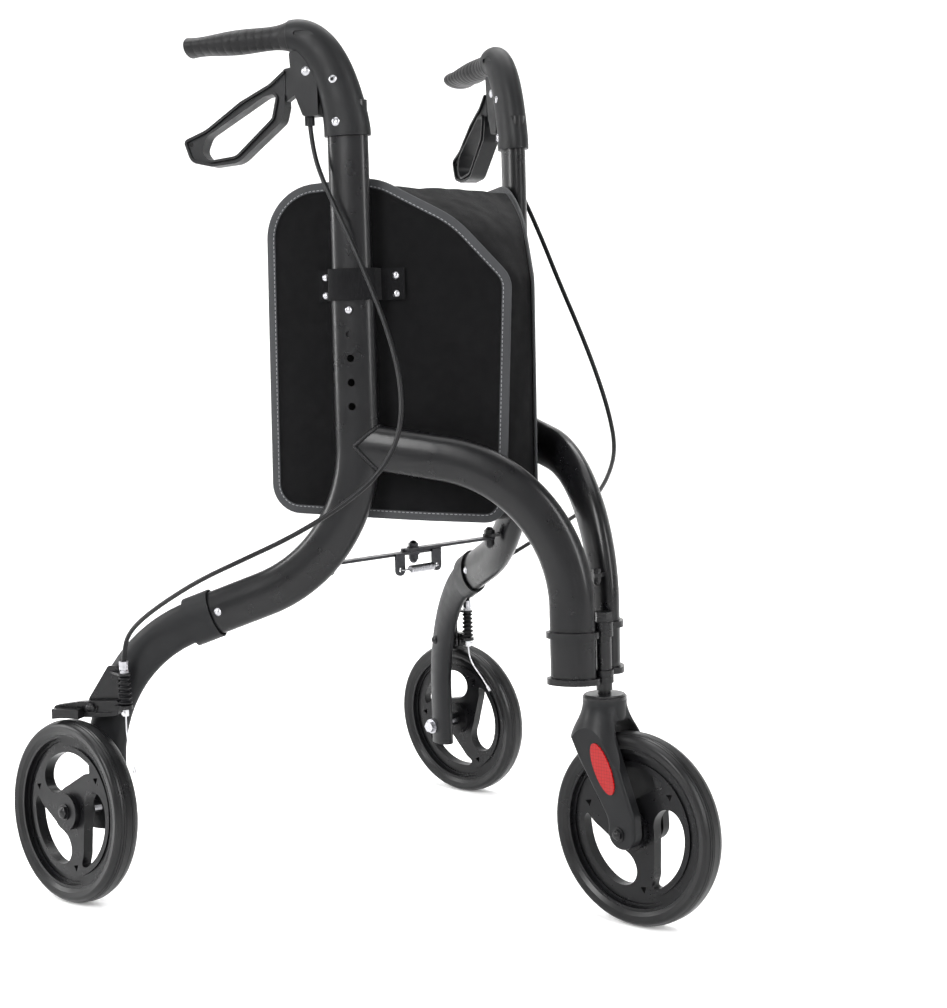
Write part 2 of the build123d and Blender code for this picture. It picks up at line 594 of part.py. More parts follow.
def stay_bracket(side):
    """Lug welded to the frame tube's inner face, with the link's pivot bolt."""
    bolt_x, bolt_out = STAY_BOLT
    low = STAY_Z[side] + STAY_THICK / 2 + 0.3
    pad = Pos(bolt_x, bolt_out) * Circle(8.0) + Pos(bolt_x, (bolt_out + FRAME_OUT) / 2) * Rectangle(16, FRAME_OUT - bolt_out)
    plate = Pos(0, 0, low) * extrude(pad, 3.0)
    tube = oval_sweep(tube_path, TUBE)
    bottom = STAY_Z[side] - STAY_THICK / 2 - 0.3
    bolt = post(bolt_x, bolt_out, 3.0, bottom - 1, low + 1)
    head = Pos(bolt_x, bolt_out, low + 3.0) * cap_nut(11.0, 8.5)
    nut = Pos(bolt_x, bolt_out, bottom) * Rot(180, 0, 0) * (Cylinder(6.0, 1.0, align=BASE) + Pos(0, 0, 1.0) * cap_nut(10.0, 10.0))
    return (plate - tube) + bolt + head + nut


def fold_stop():
    """Bracket on the left arch that holds a rubber-faced stop bolt between the arches."""
    x, out, z = 8.5, -2.5, 356.0
    arm = Polygon((x - 4, out - 4), (x + 4, out - 4), (30, 3), (30, 12), (14, 12), (x - 4, out + 4), align=None)
    plate = Pos(0, 0, z) * extrude(arm, 4.0)
    arch = oval_sweep(side_path([(TUBE_X, ARCH_START_Z), (ARCH_X, arch_corner_z), (ARCH_X, 260)], ARCH_R), TUBE)
    plate -= arch
    top = Pos(x, out, z + 4) * hex_prism(8.0, 4.5)
    nut = Pos(x, out, z) * Rot(180, 0, 0) * cap_nut(8.0, 9.0)
    return plate + top + nut


# ---- brake ----
CABLE_AXIS = (524.0, 40.0)
ARM_PIVOT = (566.0, 213.0)
ARM_OUT = (31.5, 39.5)
SHOE_X = 592.0
SHOE_GAP = 2.2


def brake_bracket():
    """Plate on the leg's outward face: carries the arm's pivot bolt and the cable stop."""
    mid = 547.0
    plate = side_plate(rounded([(536, 258), (536, 203), (573, 203), (573, 221), (548, 258)], [3, 4, 6, 8, 3]), 2.5, 29.0)
    face = FRAME_OUT + LEG[1]
    boss = cross_pin(mid, 213.0, 7.0, face - 1.5, 28.0)
    tab_x = CABLE_AXIS[0]
    outline = Pos(tab_x, CABLE_AXIS[1]) * Circle(7.0) + Polygon((tab_x, 47), (tab_x, 33), (536, 27.8), (546, 30.2), align=None)
    tab = Pos(0, 0, 249.5) * extrude(outline, 2.5)
    tab -= post(tab_x, CABLE_AXIS[1], 3.2, 240, 260)
    pin = cross_pin(*ARM_PIVOT, 3.0, 30.0, ARM_OUT[1] + 1.5)
    pin += to_outward(cap_nut(10.0, 6.0), *ARM_PIVOT, ARM_OUT[1] + 0.4)
    leg = oval_sweep(side_path([along(TUBE_END), (LEG_X, leg_corner_z), (LEG_X, LEG_BOTTOM)], LEG_R), LEG)
    inner_bolt = cross_pin(mid, 213.0, 3.0, FRAME_OUT - LEG[1] - 2, FRAME_OUT - LEG[1] + 1)
    inner_head = to_inward(dome(5.5, 5.0), mid, 213.0, FRAME_OUT - LEG[1] + 0.3)
    return plate + tab + pin + (boss + inner_bolt + inner_head - leg)


def brake_arm():
    """Rocker above the tyre: the cable lifts its front tab and presses the shoe down."""
    body = rounded([(533, 221.5), (533, 205), (562, 202), (611, 201.5), (611, 214), (580, 219)], [3, 4, 20, 2, 4, 20])
    arm = side_plate(body, ARM_OUT[1] - ARM_OUT[0], sum(ARM_OUT) / 2)
    hollow = side_plate(rounded([(540, 217), (540, 208), (603, 206), (603, 210)], [2, 2, 2, 1.5]), 4.0, ARM_OUT[1])
    arm -= hollow - cross_pin(*ARM_PIVOT, 7.5, 20, 60)
    x, out = CABLE_AXIS
    tab = Pos(x, out) * Circle(8.0) + Pos(x + 6, out - 2) * Rectangle(12, 12)
    arm += Pos(0, 0, 212.6) * extrude(tab, 4.0)
    arm += brake_shoe()
    arm -= cross_pin(*ARM_PIVOT, 3.08, 20, 60)
    return arm - post(x, out, 2.0, 200, 225)


def brake_shoe():
    """Foot of the arm's back end, curved to the tyre and set just above it."""
    block = side_plate(Pos(SHOE_X, 206) * Rectangle(32, 12), 15.0, ARM_OUT[0] + 12.0)
    tyre_space = rear_wheel_seat("right") * Rot(90, 0, 0) * Cylinder(WHEEL_R + SHOE_GAP, 60)
    return block - SPREAD.inverse() * tyre_space


def cable_adjuster():
    """Threaded cable stop with a lock nut, held in the bracket's tab."""
    x, out = CABLE_AXIS
    barrel = post(x, out, 3.1, 249.4, 256.0) + post(x, out, 5.2, 256.0, 265.0)
    nut = Pos(x, out, 252.1) * hex_prism(9.0, 3.0)
    return barrel + nut - post(x, out, 3.7, 258.0, 266.0)


def cable_boot():
    """Ribbed rubber bellows over the return spring, between the tab and the arm."""
    x, out = CABLE_AXIS
    low, high = 216.9, 249.2
    ribs = 6
    pitch = (high - low) / ribs
    boot = post(x, out, 4.5, low, high)
    for n in range(ribs):
        middle = low + (n + 0.5) * pitch
        radius = 8.0 - 0.3 * n
        half = Pos(x, out, middle) * Cone(radius, 5.0, pitch * 0.46, align=BASE)
        boot += half + mirror(half, about=Plane.XY.offset(middle))
    return boot - post(x, out, 1.2, low - 1, high + 1)


def wire_anchor():
    """Clamp that grips the inner wire under the arm."""
    x, out = CABLE_AXIS
    return post(x, out, 3.4, 204.8, 212.3) + cross_pin(x, 208.5, 2.0, out + 3, out + 6.5)


CABLE_R = 2.5
CABLE_ROUTE = [(296.5, 14.5, 833), (293, 19, 803), (276, 33, 766), (249, 44, 716), (224, 54, 665),
               (200, 67, 612), (184, 80, 562), (181, 94, 514), (198, 108, 474), (238, 117, 441), (290, 122, 411),
               (345, 123, 387), (395, 112, 366), (440, 93, 343), (480, 73, 320), (508, 54, 300), (521, 43, 281),
               (524, 40, 261)]
WIRE_R = 0.9
WIRE_ROUTE = [(524, 40, 205.0), (523.5, 41.5, 190), (520, 46, 178), (514, 53, 166), (508, 59, 153)]


def route_radii(points, share=0.45):
    radii = []
    for before, point, after in zip(points, points[1:], points[2:]):
        turn = (Vector(*point) - Vector(*before)).get_angle(Vector(*after) - Vector(*point))
        run = min((Vector(*point) - Vector(*before)).length, (Vector(*after) - Vector(*point)).length)
        radii.append(share * run / tan(radians(turn) / 2))
    return radii


def cord(points, radius):
    radii = route_radii(points)
    path = FilletPolyline(*points, radius=radii)
    start = Plane(origin=path @ 0, z_dir=path % 0)
    solid = sweep(start * Circle(radius), path=path)
    print("cord radii", [round(r, 1) for r in radii], "length", round(path.length, 1),
          "volume ratio", round(solid.volume / (pi * radius * radius * path.length), 4))
    return solid


def wire_crimp():
    """Crimped end cap on the free end of the inner wire."""
    last, before = Vector(*WIRE_ROUTE[-1]), Vector(*WIRE_ROUTE[-2])
    direction = (last - before).normalized()
    return Plane(origin=last, z_dir=direction) * Cylinder(1.8, 7.0, align=BASE)


def brake_wire():
    """Inner wire below the arm: clamp, free length and crimped end."""
    return wire_anchor() + (cord(WIRE_ROUTE, WIRE_R) + wire_crimp())


# ---- write every node ----
def write(name, shape):
    export_step(shape if isinstance(shape, Compound) else Compound(children=[shape]), f"parts/{name}.step")


def write_pair(name, make, placed=SPREAD):
    right = placed * make()
    write(f"right_{name}", right)
    write(f"left_{name}", mirror(right, about=Plane.YZ))


for name, make in {
    "frame_tube": frame_tube, "rear_leg": rear_leg, "rivets": rivets, "handle_tube": handle_tube,
    "handle_housing": handle_housing, "handle_bolts": handle_bolts, "grip": grip, "brake_lever": brake_lever,
    "snap_button": snap_button, "bag_panel": bag_panel, "bag_strap": bag_strap, 
    "brake_bracket": brake_bracket, "brake_arm": brake_arm, "cable_boot": cable_boot,
    "cable_adjuster": cable_adjuster, "brake_wire": brake_wire,
    "brake_cable": lambda: cord(CABLE_ROUTE, CABLE_R),
}.items():
    write_pair(name, make)

for side in ("right", "left"):
    for name, make in {"front_arch": front_arch, "hinge_plates": hinge_plates, "stay_bracket": stay_bracket}.items():
        shape = SPREAD * make(side)
        write(f"{side}_{name}", shape if side == "right" else mirror(shape, about=Plane.YZ))
    write(f"{side}_stay_bar", stay_bar(side))
    seat = rear_wheel_seat(side)
    write(f"{side}_tyre", seat * tyre())
    write(f"{side}_rim", seat * rim(RIM_PHASE[side]))
    write(f"{side}_axle", rear_axle(side))

write("front_tyre", FRONT_SEAT * tyre())
write("front_rim", FRONT_SEAT * rim(RIM_PHASE["front"]))
write("front_axle", front_axle())
write("fork", fork())
write("fork_cap", fork_cap())
write("swivel_bearings", swivel_bearings())
write("reflectors", reflector_pair(0.0, -0.55))
write("pivot_post", pivot_post())
write("post_sleeve", post_sleeve())
write("fold_stop", mirror(SPREAD * fold_stop(), about=Plane.YZ))
write("stay_spring", stay_spring())
write("bag_gusset", bag_gusset())
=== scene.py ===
import json
from math import atan2, cos, exp, log, pi, radians, sin, tan

import bmesh
import bpy
from mathutils import Matrix, Vector, noise


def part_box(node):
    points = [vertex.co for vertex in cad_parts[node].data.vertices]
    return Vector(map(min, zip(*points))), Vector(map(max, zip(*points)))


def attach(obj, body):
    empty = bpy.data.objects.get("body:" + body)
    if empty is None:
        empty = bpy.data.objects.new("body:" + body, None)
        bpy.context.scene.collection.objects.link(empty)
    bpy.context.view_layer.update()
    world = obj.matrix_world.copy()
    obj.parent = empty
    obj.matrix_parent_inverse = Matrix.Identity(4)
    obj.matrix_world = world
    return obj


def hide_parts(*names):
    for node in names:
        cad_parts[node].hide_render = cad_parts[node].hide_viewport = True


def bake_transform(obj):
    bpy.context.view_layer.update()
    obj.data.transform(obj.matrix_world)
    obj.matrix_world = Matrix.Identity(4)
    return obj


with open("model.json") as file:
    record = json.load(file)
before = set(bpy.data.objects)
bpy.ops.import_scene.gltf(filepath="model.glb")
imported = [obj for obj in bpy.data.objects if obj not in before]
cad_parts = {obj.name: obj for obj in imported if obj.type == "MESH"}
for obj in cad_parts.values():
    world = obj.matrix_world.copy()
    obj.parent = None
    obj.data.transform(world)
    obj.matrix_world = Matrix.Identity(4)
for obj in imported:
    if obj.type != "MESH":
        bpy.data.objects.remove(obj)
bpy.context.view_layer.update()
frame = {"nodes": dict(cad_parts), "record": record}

# ---- dimensions shared with the CAD model, millimetres ----
HALF = radians(27.0)
PIVOT_Y = -230.0
FRAME_OUT = 14.5
SIDES = ("right", "left")


def place(s, out, z, side="right"):
    """A side frame's own axes (back, outward, up) to the row frame, in metres."""
    x = s * sin(HALF) + out * cos(HALF)
    y = PIVOT_Y + s * cos(HALF) - out * sin(HALF)
    return Vector((-x if side == "right" else x, y, z)) / 1000


# ---- camera ----
def make_camera():
    data = bpy.data.cameras.new("camera")
    data.lens = 66.82
    data.sensor_width = 36.0
    data.clip_end = 50
    cam = bpy.data.objects.new("camera", data)
    bpy.context.scene.collection.objects.link(cam)
    yaw, fall, roll = radians(47.03), radians(5.08), radians(-1.57)
    look = Vector((sin(yaw) * cos(fall), cos(yaw) * cos(fall), -sin(fall)))
    right = look.cross(Vector((0, 0, 1))).normalized()
    up = right.cross(look)
    right, up = cos(roll) * right + sin(roll) * up, cos(roll) * up - sin(roll) * right
    turn = Matrix((right, up, -look)).transposed().to_4x4()
    cam.matrix_world = Matrix.Translation((-1.483, -1.434, 0.605)) @ turn
    bpy.context.scene.camera = cam


make_camera()


# ---- mesh helpers ----
def new_object(name, data):
    obj = bpy.data.objects.new(name, data)
    bpy.context.scene.collection.objects.link(obj)
    return obj


def mesh_object(name, verts, faces):
    data = bpy.data.meshes.new(name)
    data.from_pydata([tuple(v) for v in verts], [], faces)
    data.update()
    data.polygons.foreach_set("use_smooth", [True] * len(data.polygons))
    return new_object(name, data)


def grid_faces(rows, columns, close=False):
    """Quads between successive rows of points; close joins each row's end to its start."""
    faces = []
    last = columns if close else columns - 1
    for r in range(rows - 1):
        for c in range(last):
            d = (c + 1) % columns
            faces.append((r * columns + c, r * columns + d, (r + 1) * columns + d, (r + 1) * columns + c))
    return faces


def tube_mesh(name, path, radius, around=12):
    """Round tube along a list of points; the radius is a number or a function of the share run."""
    verts = []
    normal = None
    for i, point in enumerate(path):
        ahead = (path[min(i + 1, len(path) - 1)] - path[max(i - 1, 0)]).normalized()
        if normal is None:
            normal = ahead.orthogonal().normalized()
        normal = (normal - ahead * normal.dot(ahead)).normalized()
        side = ahead.cross(normal)
        r = radius(i / (len(path) - 1)) if callable(radius) else radius
        for k in range(around):
            a = 2 * pi * k / around
            verts.append(point + r * (cos(a) * normal + sin(a) * side))
    faces = grid_faces(len(path), around, close=True)
    faces.append(tuple(reversed(range(around))))
    faces.append(tuple(range(len(verts) - around, len(verts))))
    return mesh_object(name, verts, faces)


def rounded_path(points, radii, step=6.0, closed=True):
    """Points along a polyline with a rounded corner at each vertex."""
    found = []
    count = len(points)
    for i, radius in enumerate(radii):
        here = Vector(points[i])
        if not closed and i in (0, count - 1):
            found.append(here)
            continue
        back = (Vector(points[i - 1]) - here).normalized()
        on = (Vector(points[(i + 1) % count]) - here).normalized()
        half = back.angle(on) / 2
        centre = here + (back + on).normalized() * radius / sin(half)
        start = here + back * radius / tan(half) - centre
        end = here + on * radius / tan(half) - centre
        sweep = atan2(start.x * end.y - start.y * end.x, start.dot(end))
        steps = max(3, int(abs(sweep) * radius / step))
        for k in range(steps + 1):
            a = sweep * k / steps
            turned = Vector((start.x * cos(a) - start.y * sin(a), start.x * sin(a) + start.y * cos(a)))
            found.append(centre + turned)
    spaced = []
    ring = found + [found[0]] if closed else found
    for a, b in zip(ring, ring[1:]):
        pieces = max(1, round((b - a).length / step))
        spaced += [a + (b - a) * k / pieces for k in range(pieces)]
    return spaced if closed else spaced + [found[-1]]


# ---- cords: the brake cables, in a side frame's own millimetres ----
CABLE_DIAMETER = 0.005
CABLE_ROUTE = [(296.5, 14.5, 833), (293, 19, 803), (276, 33, 766), (249, 44, 716), (224, 54, 665),
               (200, 67, 612), (184, 80, 562), (181, 94, 514), (198, 108, 474), (238, 117, 441), (290, 122, 411),
               (345, 123, 387), (395, 112, 366), (440, 93, 343), (480, 73, 320), (508, 54, 300), (521, 43, 281),
               (524, 40, 261)]


def nurbs_line(name, points):
    data = bpy.data.curves.new(name, "CURVE")
    data.dimensions = "3D"
    data.resolution_u = 10
    spline = data.splines.new("NURBS")
    spline.points.add(len(points) - 1)
    for p, point in zip(spline.points, points):
        p.co = (*point, 1.0)
    spline.order_u = 3
    spline.use_endpoint_u = True
    obj = new_object(name, data)
    mesh = bpy.data.meshes.new_from_object(obj)
    line = [v.co.copy() for v in mesh.vertices]
    bpy.data.objects.remove(obj)
    return line


cables = {}
for side in SIDES:
    line = nurbs_line(f"{side}_cable_line", [place(*p, side) for p in CABLE_ROUTE])
    cable = tube_mesh(f"{side}_cable_run", line, CABLE_DIAMETER / 2, around=14)
    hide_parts(f"{side}_brake_cable")
    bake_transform(cable)
    cables[side] = cable


# ---- materials ----
class Shader:
    """One node material: a Principled shader with helpers to drive its sockets."""

    def __init__(self, name, colour, rough, metallic=0.0, **sockets):
        self.mat = bpy.data.materials.new(name)
        self.mat.use_nodes = True
        self.nodes = self.mat.node_tree.nodes
        self.links = self.mat.node_tree.links
        self.bsdf = self.nodes["Principled BSDF"]
        self.set("Base Color", (*colour, 1))
        self.set("Roughness", rough)
        self.set("Metallic", metallic)
        for key, value in sockets.items():
            self.set(key.replace("_", " "), value)
        self.coords = self.nodes.new("ShaderNodeTexCoord").outputs["Object"]
        self.height = None

    def set(self, socket, value):
        self.bsdf.inputs[socket].default_value = value

    def node(self, kind, inputs=None, **settings):
        made = self.nodes.new(f"ShaderNode{kind}")
        for key, value in settings.items():
            setattr(made, key, value)
        for key, value in (inputs or {}).items():
            if isinstance(value, bpy.types.NodeSocket):
                self.links.new(value, made.inputs[key])
            else:
                made.inputs[key].default_value = value
        return made

    def noise(self, scale, detail=3.0):
        inputs = {"Vector": self.coords, "Scale": scale, "Detail": detail, "Roughness": 0.55}
        return self.node("TexNoise", inputs).outputs["Fac"]

    def maths(self, operation, a, b):
        return self.node("Math", {0: a, 1: b}, operation=operation).outputs[0]

    def ramp(self, value, low, high, out_low, out_high):
        inputs = {"Value": value, "From Min": low, "From Max": high, "To Min": out_low, "To Max": out_high}
        return self.node("MapRange", inputs).outputs["Result"]

    def mix(self, factor, a, b):
        made = self.node("Mix", data_type="RGBA")
        self.links.new(factor, made.inputs["Factor"])
        for index, value in ((6, a), (7, b)):
            if isinstance(value, bpy.types.NodeSocket):
                self.links.new(value, made.inputs[index])
            else:
                made.inputs[index].default_value = (*value, 1)
        return made.outputs[2]

    def paint(self, value):
        self.links.new(value, self.bsdf.inputs["Base Color"])

    def roughen(self, value):
        self.links.new(value, self.bsdf.inputs["Roughness"])

    def bump(self, height, distance, strength=1.0):
        inputs = {"Height": height, "Distance": distance, "Strength": strength}
        made = self.node("Bump", inputs)
        if self.height is not None:
            self.links.new(self.height, made.inputs["Normal"])
        self.height = made.outputs["Normal"]
        self.links.new(self.height, self.bsdf.inputs["Normal"])


def lighter(colour, by):
    return tuple(min(1.0, c * by) for c in colour)


def powder_coat(name, colour):
    """Satin powder coat, with a fine orange peel."""
    m = Shader(name, colour, 0.3, Coat_Weight=0.1, Coat_Roughness=0.14, Specular_IOR_Level=0.22)
    tone = m.ramp(m.noise(9.0, 2.0), 0.3, 0.7, 0.0, 1.0)
    m.paint(m.mix(tone, colour, lighter(colour, 1.35)))
    m.roughen(m.ramp(m.noise(40.0, 4.0), 0.3, 0.7, 0.25, 0.36))
    m.bump(m.noise(900.0, 2.0), 0.00012, 0.25)
    return m.mat


def moulded(name, colour, rough, grain=1500.0, depth=0.00012):
    """Moulded plastic or rubber with a fine grain."""
    m = Shader(name, colour, rough, Specular_IOR_Level=0.18)
    tone = m.ramp(m.noise(14.0, 3.0), 0.3, 0.7, 0.0, 1.0)
    m.paint(m.mix(tone, colour, lighter(colour, 1.4)))
    m.roughen(m.ramp(m.noise(60.0, 3.0), 0.3, 0.7, rough - 0.05, rough + 0.08))
    m.bump(m.noise(grain, 2.0), depth, 0.5)
    return m.mat


def tyre_rubber(name):
    """Black rubber with a little dust."""
    black, dusty = (0.005, 0.005, 0.0055), (0.014, 0.0138, 0.0135)
    m = Shader(name, black, 0.36, Coat_Weight=0.05, Coat_Roughness=0.25, Specular_IOR_Level=0.22)
    dust = m.ramp(m.noise(30.0, 5.0), 0.45, 0.8, 0.0, 0.35)
    m.paint(m.mix(dust, black, dusty))
    m.roughen(m.ramp(m.noise(25.0, 4.0), 0.3, 0.7, 0.27, 0.42))
    m.bump(m.noise(700.0, 3.0), 0.0001, 0.35)
    return m.mat


FRAME_TURN = {"right": -(pi / 2 + HALF), "left": -(pi / 2 - HALF), None: 0.0}
WAVE_PERIOD = 0.314        # period in metres of a wave texture of scale 1
RING_PITCH = 0.0085


def frame_coords(m, side):
    """Texture coordinates turned square to a side frame."""
    inputs = {"Vector": m.coords, "Angle": FRAME_TURN[side]}
    return m.node("VectorRotate", inputs, rotation_type="Z_AXIS").outputs[0]


def soft_grip(name, side):
    """Rubber with fine grain, and rings across the grip."""
    m = Shader(name, (0.006, 0.006, 0.0065), 0.5, Specular_IOR_Level=0.2)
    cells = m.node("TexVoronoi", {"Vector": m.coords, "Scale": 620.0}).outputs["Distance"]
    m.roughen(m.ramp(m.noise(50.0, 3.0), 0.3, 0.7, 0.42, 0.56))
    tone = m.ramp(m.noise(18.0), 0.3, 0.7, 0.0, 1.0)
    m.paint(m.mix(tone, (0.005, 0.005, 0.0055), (0.009, 0.009, 0.0095)))
    m.bump(cells, 0.0004, 0.45)
    inputs = {"Vector": frame_coords(m, side), "Scale": WAVE_PERIOD / RING_PITCH}
    rings = m.node("TexWave", inputs, bands_direction="X").outputs["Fac"]
    m.bump(m.maths("POWER", rings, 0.35), 0.0008, 0.7)
    return m.mat


def weave(name, colour, thread, side=None, sheen=0.04, rough=0.85):
    """Plain weave of a given thread pitch in metres, square to a side frame or to the row frame."""
    m = Shader(name, colour, rough, Sheen_Weight=sheen, Sheen_Roughness=0.4, Specular_IOR_Level=0.1)
    vector = frame_coords(m, side)
    scale = WAVE_PERIOD / thread
    threads = []
    for direction in ("X", "Z"):
        inputs = {"Vector": vector, "Scale": scale, "Distortion": 0.4, "Detail": 1.0}
        threads.append(m.node("TexWave", inputs, bands_direction=direction).outputs["Fac"])
    cloth = m.maths("MAXIMUM", *threads)
    blotch = m.ramp(m.noise(22.0, 5.0), 0.35, 0.7, 0.0, 1.0)
    shade = m.mix(m.maths("MULTIPLY", cloth, 0.6), lighter(colour, 0.7), lighter(colour, 1.4))
    m.paint(m.mix(m.maths("MULTIPLY", blotch, 0.5), shade, lighter(colour, 1.35)))
    m.roughen(m.ramp(m.noise(90.0, 3.0), 0.3, 0.7, rough - 0.06, rough + 0.06))
    m.bump(cloth, 0.0002, 0.5)
    m.bump(m.noise(35.0, 4.0), 0.0012, 0.4)
    return m.mat


def plated(name, colour, rough=0.28):
    """Plated or bare metal."""
    m = Shader(name, colour, rough, metallic=1.0)
    spots = m.ramp(m.noise(260.0, 4.0), 0.4, 0.75, 0.0, 1.0)
    m.paint(m.mix(m.maths("MULTIPLY", spots, 0.5), colour, lighter(colour, 0.6)))
    m.roughen(m.ramp(m.noise(120.0, 3.0), 0.3, 0.7, rough - 0.06, rough + 0.12))
    m.bump(m.noise(1200.0, 2.0), 0.00005, 0.4)
    return m.mat


def prismatic(name):
    """Red lens with a grid of small cells behind its face."""
    red = (0.34, 0.001, 0.0015)
    m = Shader(name, red, 0.25, Coat_Weight=0.15, Coat_Roughness=0.05, Specular_IOR_Level=0.25)
    inputs = {"Vector": m.coords, "Scale": 290.0, "Randomness": 0.0}
    cells = m.node("TexVoronoi", inputs, feature="DISTANCE_TO_EDGE").outputs["Distance"]
    edge = m.ramp(cells, 0.0, 0.22, 0.0, 1.0)
    m.paint(m.mix(edge, (0.12, 0.0, 0.0005), (0.42, 0.0015, 0.002)))
    m.bump(cells, 0.0007, 0.8)
    return m.mat


BLACK = (0.0035, 0.0035, 0.004)
BINDING = (0.034, 0.035, 0.037)
MATERIALS = {
    "frame_paint": powder_coat("powder_coat", BLACK),
    "arch_paint": powder_coat("powder_coat_arch", BLACK),
    "plate_paint": powder_coat("powder_coat_plates", (0.004, 0.004, 0.0045)),
    "bolt_black": powder_coat("black_oxide", (0.005, 0.005, 0.0055)),
    "leg_plastic": moulded("leg_plastic", (0.0065, 0.0067, 0.0073), 0.42),
    "housing_plastic": moulded("housing_plastic", (0.0055, 0.0057, 0.0062), 0.45),
    "lever_plastic": moulded("lever_plastic", (0.006, 0.0062, 0.0068), 0.44),
    "fork_plastic": moulded("fork_plastic", (0.006, 0.0062, 0.0068), 0.4),
    "rim_plastic": moulded("rim_plastic", (0.004, 0.004, 0.0045), 0.3, 1100.0, 0.00006),
    "tyre": tyre_rubber("tyre_rubber"),
    "boot_rubber": moulded("boot_rubber", (0.004, 0.004, 0.0045), 0.4, 800.0, 0.00008),
    "zinc": plated("zinc", (0.42, 0.42, 0.44)),
    "stay_steel": plated("black_zinc", (0.05, 0.05, 0.054), 0.34),
    "wire_steel": plated("wire_steel", (0.6, 0.6, 0.62), 0.35),
    "bearing_steel": plated("bearing_steel", (0.7, 0.7, 0.72), 0.2),
    "cable_jacket": moulded("cable_jacket", (0.004, 0.004, 0.0045), 0.34, 900.0, 0.00005),
    "lens_red": prismatic("red_lens"),
    "strap_web": weave("strap_web", (0.004, 0.004, 0.0045), 0.0012),
    "bag_fabric": weave("bag_fabric", (0.0032, 0.0032, 0.0035), 0.0008),
}
for side in SIDES:
    MATERIALS[f"grip_{side}"] = soft_grip(f"grip_rubber_{side}", side)
    MATERIALS[f"panel_{side}"] = weave(f"panel_fabric_{side}", (0.0022, 0.0022, 0.0025), 0.0008, side)
    MATERIALS[f"binding_{side}"] = weave(f"binding_{side}", BINDING, 0.0007, side, sheen=0.05, rough=0.5)
    MATERIALS[f"thread_{side}"] = weave(f"thread_{side}", (0.22, 0.222, 0.23), 0.0004, side)


def dress(obj, *materials):
    obj.data.materials.clear()
    for m in materials:
        obj.data.materials.append(MATERIALS[m])


BY_NODE = {"pivot_post": "bolt_black", "front_axle": "bolt_black"}
BY_NODE.update({f"{side}_grip": f"grip_{side}" for side in SIDES})
for part in frame["record"]["subparts"]:
    dress(frame["nodes"][part["node"]], BY_NODE.get(part["node"], part["material_slot"]))
for side in SIDES:
    dress(cables[side], "cable_jacket")


CAP_STARTS = 0.286         # distance from the walker's middle plane, in metres


def blacken_caps(side):
    """Plastic cap over the outboard end of a rear axle; the nut's inboard end stays plated."""
    axle = frame["nodes"][f"{side}_axle"]
    dress(axle, "zinc", "bolt_black")
    capped = [int(abs((axle.matrix_world @ p.center).x) > CAP_STARTS) for p in axle.data.polygons]
    axle.data.polygons.foreach_set("material_index", capped)


for side in SIDES:
    blacken_caps(side)


# ---- weld beads ----
TUBE_S = 255.5             # upright frame tube's middle, in a side frame's own axes
TUBE_HALF = (24.0, 14.0)   # half sizes of the oval tube, in the plane and across it
ARCH_Z = 496.0             # height of the arch's middle where it meets the tube
ARCH_FALL = -tan(radians(9.1))
RIPPLES = 42


def weld_bead(side):
    """Rippled bead where the front arch meets the frame tube."""
    ring = []
    steps = 180
    for k in range(steps + 1):
        a = 2 * pi * k / steps
        s = TUBE_S - TUBE_HALF[0] * abs(sin(a)) - 1.3
        z = ARCH_Z + ARCH_FALL * (TUBE_S - s) + TUBE_HALF[0] * sin(a)
        ring.append(place(s, FRAME_OUT + (TUBE_HALF[1] + 0.9) * cos(a), z, side))

    def radius(share):
        return 0.0018 + 0.0003 * sin(2 * pi * RIPPLES * share)

    bead = tube_mesh(f"{side}_weld", ring, radius, around=10)
    dress(bead, "frame_paint")
    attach(bead, f"{side}_frame")


for side in SIDES:
    weld_bead(side)


# ---- cable boots ----
def cable_boot(side):
    """Rubber bellows between the bracket and the brake arm."""
    low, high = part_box(f"{side}_cable_boot")
    middle_x, middle_y = (low[0] + high[0]) / 2, (low[1] + high[1]) / 2
    foot, top = low[2], high[2]
    ribs = 6
    path = [Vector((middle_x, middle_y, foot + (top - foot) * k / 72)) for k in range(73)]

    def radius(share):
        wave = 0.5 - 0.5 * cos(2 * pi * ribs * share)
        return 0.0046 + (0.0034 - 0.0014 * share) * wave

    boot = tube_mesh(f"{side}_boot_bellows", path, radius, around=28)
    dress(boot, "boot_rubber")
    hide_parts(f"{side}_cable_boot")
    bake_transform(boot)


for side in SIDES:
    cable_boot(side)


# ---- bag ----
PANEL = [(232, 775), (150, 730), (95, 667), (107, 409), (361, 424), (356, 768)]
PANEL_RADII = [70, 110, 30, 22, 32, 58]
PANEL_OUT = -5.0
CREASE = 200.0
LEAN = tan(radians(13.0))


def panel_out(s):
    """Outward place of a panel's middle: flat at the back, leaning inward ahead of the crease."""
    soft = 12.0
    return PANEL_OUT - LEAN * soft * log(1 + exp((CREASE - s) / soft))


def follow_fold(obj):
    """Bakes the bag cloth's placement into its mesh."""
    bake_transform(obj)


def inset(ring, distance):
    """The ring moved inward, square to its own line."""
    count = len(ring)
    area = sum(a.x * b.y - b.x * a.y for a, b in zip(ring, ring[1:] + ring[:1]))
    turn = 1 if area > 0 else -1
    moved = []
    for i in range(count):
        along = (ring[(i + 1) % count] - ring[i - 1]).normalized()
        moved.append(ring[i] + turn * distance * Vector((-along.y, along.x)))
    return moved


def ripple(x, y, scale, seed):
    return noise.noise(Vector((x / scale, y / scale, seed)))


